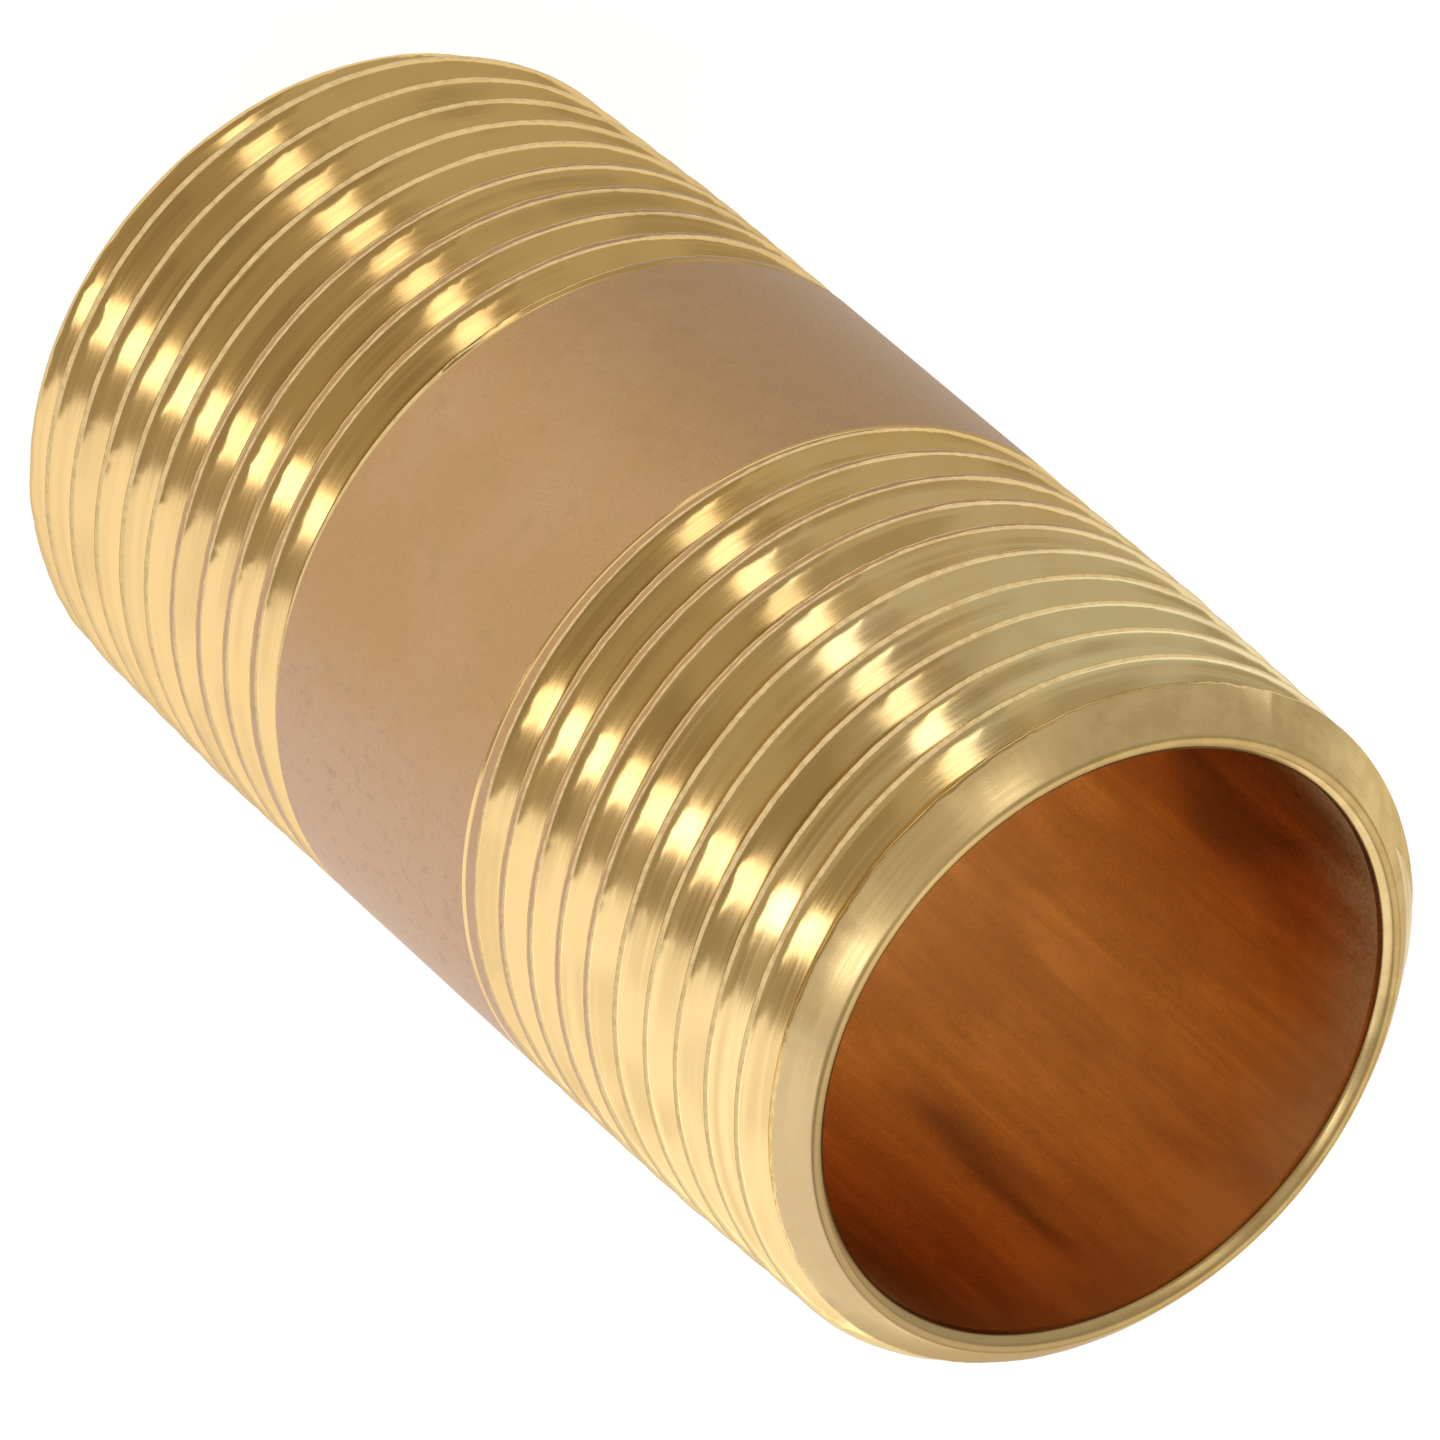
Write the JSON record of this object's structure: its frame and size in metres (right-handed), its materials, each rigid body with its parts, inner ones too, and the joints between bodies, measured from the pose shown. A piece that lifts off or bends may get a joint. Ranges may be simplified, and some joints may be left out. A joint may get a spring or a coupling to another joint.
{
  "type": "pipe nipple",
  "caption": "Short brass pipe nipple: a tube open from end to end, with a right-hand taper pipe thread on each end and a plain band between the threads.",
  "frame": {"origin": "centre of the lower end face, on the pipe's axis; the part stands on that face", "axes": "+Z along the pipe's axis, from the lower end to the upper end; X and Y are across the pipe"},
  "size_m": [0.0266, 0.0266, 0.0508],
  "materials": {
    "brass": "bright turned threads, matt drawn plain band, darker drawn bore"
  },
  "bodies": {
    "root": {"pipe_nipple": "brass"}
  },
  "joints": []
}
